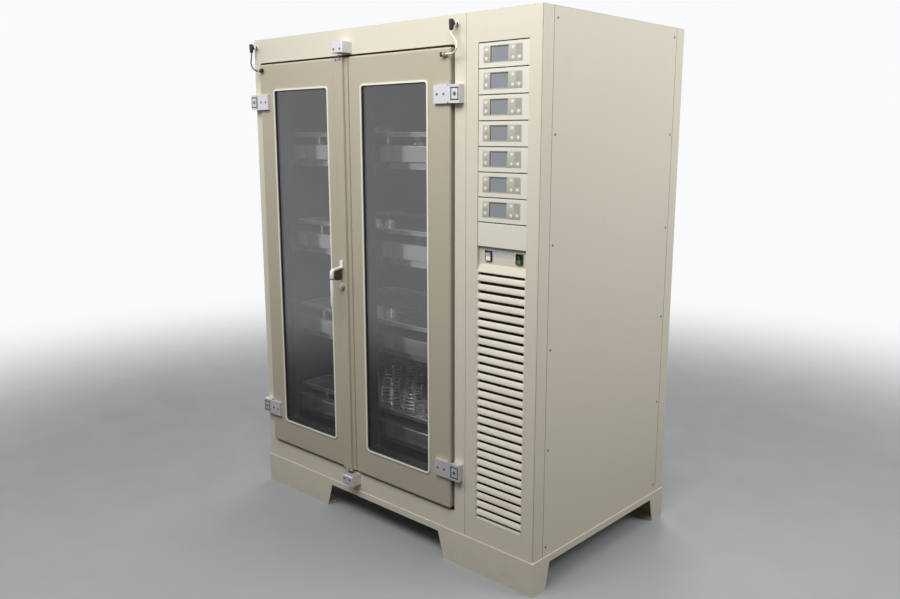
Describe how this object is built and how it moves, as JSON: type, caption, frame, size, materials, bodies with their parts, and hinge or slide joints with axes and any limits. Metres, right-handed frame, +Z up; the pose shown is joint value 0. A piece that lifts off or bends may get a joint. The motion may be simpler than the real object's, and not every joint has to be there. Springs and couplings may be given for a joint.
{
  "type": "shaking incubator",
  "caption": "Tall floor-standing shaking incubator with glazed double doors, orbital shaker shelves in a steel chamber and a column of control modules over a louvred vent.",
  "frame": {"origin": "on the floor, at the middle of the bounding box's base", "axes": "+X to the right seen from the front, +Y from the front to the back, +Z up"},
  "size_m": [1.362, 0.867, 1.75],
  "materials": {
    "cabinet_paint": "fine textured light beige powder coat",
    "door_paint": "fine textured warm grey powder coat",
    "ivory_trim": "satin ivory",
    "module_face": "satin cream with a grey keypad and display window",
    "stainless": "brushed stainless sheet",
    "satin_metal": "satin cast metal",
    "platform_metal": "satin anodised",
    "glass": "clear polished",
    "rubber": "matt black",
    "black_plastic": "matt black",
    "black_paint": "satin black",
    "white_plastic": "glossy white",
    "green_lens": "glossy green",
    "steel": "machined"
  },
  "bodies": {
    "cabinet": {"base_plinth": "cabinet_paint", "door_frame": "cabinet_paint", "column_fascia": "cabinet_paint", "display_module_1": "module_face", "display_module_2": "module_face", "display_module_3": "module_face", "display_module_4": "module_face", "display_module_5": "module_face", "display_module_6": "module_face", "display_module_7": "module_face", "blank_module": "module_face", "louvre_grille": "ivory_trim", "left_side_panel": "cabinet_paint", "right_side_panel": "cabinet_paint", "top_panel": "cabinet_paint", "rear_panel": "cabinet_paint", "chamber_liner": "stainless", "drive_housing_1": "stainless", "drive_housing_2": "stainless", "drive_housing_3": "stainless", "drive_housing_4": "stainless", "left_top_hinge_block": "satin_metal", "left_bottom_hinge_block": "satin_metal", "right_top_hinge_block": "satin_metal", "right_bottom_hinge_block": "satin_metal", "top_keeper": "satin_metal", "bottom_keeper": "satin_metal", "left_lead_plug": "black_plastic", "right_lead_plug": "black_plastic", "left_door_lead": "rubber", "right_door_lead": "white_plastic", "compressor": "black_paint"},
    "left_door_leaf": {"left_door": "door_paint", "left_window_trim": "ivory_trim", "left_glass": "glass", "left_door_gasket": "rubber", "left_top_hinge_leaf": "satin_metal", "left_bottom_hinge_leaf": "satin_metal", "lock_rod_cover": "door_paint"},
    "right_door_leaf": {"right_door": "door_paint", "right_window_trim": "ivory_trim", "right_glass": "glass", "right_door_gasket": "rubber", "right_top_hinge_leaf": "satin_metal", "right_bottom_hinge_leaf": "satin_metal"},
    "door_handle_body": {"door_handle": "satin_metal"},
    "key_cylinder_body": {"key_cylinder": "satin_metal"},
    "top_lock_rod_body": {"top_lock_rod": "steel"},
    "bottom_lock_rod_body": {"bottom_lock_rod": "steel"},
    "power_rocker_body": {"power_rocker": "white_plastic"},
    "lamp_rocker_body": {"lamp_rocker": "green_lens"},
    "circulation_fan_body": {"circulation_fan": "platform_metal"},
    "crank_1_body": {"crank_1": "steel"},
    "platform_1_body": {"platform_1": "platform_metal"},
    "crank_2_body": {"crank_2": "steel"},
    "platform_2_body": {"platform_2": "platform_metal"},
    "crank_3_body": {"crank_3": "steel"},
    "platform_3_body": {"platform_3": "platform_metal"},
    "crank_4_body": {"crank_4": "steel"},
    "platform_4_body": {"platform_4": "platform_metal"}
  },
  "joints": [
    {"name": "left_door_hinge", "type": "hinge", "parent": "cabinet", "child": "left_door_leaf", "pos_m": [-0.635, -0.3728, 0.924], "axis": [0, 0, -1], "range_deg": [0, 105], "deforming": ["left_door_lead"]},
    {"name": "right_door_hinge", "type": "hinge", "parent": "cabinet", "child": "right_door_leaf", "pos_m": [0.3485, -0.3728, 0.924], "axis": [0, 0, 1], "range_deg": [0, 105], "deforming": ["right_door_lead"]},
    {"name": "handle_turn", "type": "hinge", "parent": "left_door_leaf", "child": "door_handle_body", "pos_m": [-0.1635, -0.3776, 0.94795], "axis": [0, 1, 0], "range_deg": [0, 90]},
    {"name": "top_rod_slide", "type": "slide", "parent": "left_door_leaf", "child": "top_lock_rod_body", "axis": [0, 0, 1], "range_m": [0, 0.02]},
    {"name": "bottom_rod_slide", "type": "slide", "parent": "left_door_leaf", "child": "bottom_lock_rod_body", "axis": [0, 0, -1], "range_m": [0, 0.02]},
    {"name": "key_turn", "type": "hinge", "parent": "left_door_leaf", "child": "key_cylinder_body", "pos_m": [-0.1635, -0.3776, 0.87795], "axis": [0, 1, 0], "range_deg": [0, 90]},
    {"name": "power_switch", "type": "hinge", "parent": "cabinet", "child": "power_rocker_body", "pos_m": [0.4834, -0.3363, 1.044], "axis": [-1, 0, 0], "range_deg": [0, 18]},
    {"name": "lamp_switch", "type": "hinge", "parent": "cabinet", "child": "lamp_rocker_body", "pos_m": [0.6012, -0.3363, 1.044], "axis": [-1, 0, 0], "range_deg": [0, 18]},
    {"name": "crank_1_spin", "type": "hinge", "parent": "cabinet", "child": "crank_1_body", "pos_m": [-0.14325, 0.0047, 1.3733], "axis": [0, 0, 1], "continuous": true},
    {"name": "platform_1_orbit", "type": "hinge", "parent": "crank_1_body", "child": "platform_1_body", "pos_m": [-0.14325, -0.0078, 1.395], "axis": [0, 0, 1], "continuous": true},
    {"name": "crank_2_spin", "type": "hinge", "parent": "cabinet", "child": "crank_2_body", "pos_m": [-0.14325, 0.0047, 1.0423], "axis": [0, 0, 1], "continuous": true},
    {"name": "platform_2_orbit", "type": "hinge", "parent": "crank_2_body", "child": "platform_2_body", "pos_m": [-0.14325, -0.0078, 1.064], "axis": [0, 0, 1], "continuous": true},
    {"name": "crank_3_spin", "type": "hinge", "parent": "cabinet", "child": "crank_3_body", "pos_m": [-0.14325, 0.0047, 0.7113], "axis": [0, 0, 1], "continuous": true},
    {"name": "platform_3_orbit", "type": "hinge", "parent": "crank_3_body", "child": "platform_3_body", "pos_m": [-0.14325, -0.0078, 0.733], "axis": [0, 0, 1], "continuous": true},
    {"name": "crank_4_spin", "type": "hinge", "parent": "cabinet", "child": "crank_4_body", "pos_m": [-0.14325, 0.0047, 0.3803], "axis": [0, 0, 1], "continuous": true},
    {"name": "platform_4_orbit", "type": "hinge", "parent": "crank_4_body", "child": "platform_4_body", "pos_m": [-0.14325, -0.0078, 0.402], "axis": [0, 0, 1], "continuous": true},
    {"name": "fan_spin", "type": "hinge", "parent": "cabinet", "child": "circulation_fan_body", "pos_m": [-0.14325, 0.3017, 1.5083], "axis": [0, 1, 0], "continuous": true}
  ],
  "couplings": [
    {"joint": "top_rod_slide", "follows": "handle_turn", "m_per_rad": 0.012731},
    {"joint": "bottom_rod_slide", "follows": "handle_turn", "m_per_rad": 0.012731},
    {"joint": "platform_1_orbit", "follows": "crank_1_spin", "ratio": -1},
    {"joint": "platform_2_orbit", "follows": "crank_2_spin", "ratio": -1},
    {"joint": "platform_3_orbit", "follows": "crank_3_spin", "ratio": -1},
    {"joint": "platform_4_orbit", "follows": "crank_4_spin", "ratio": -1}
  ]
}
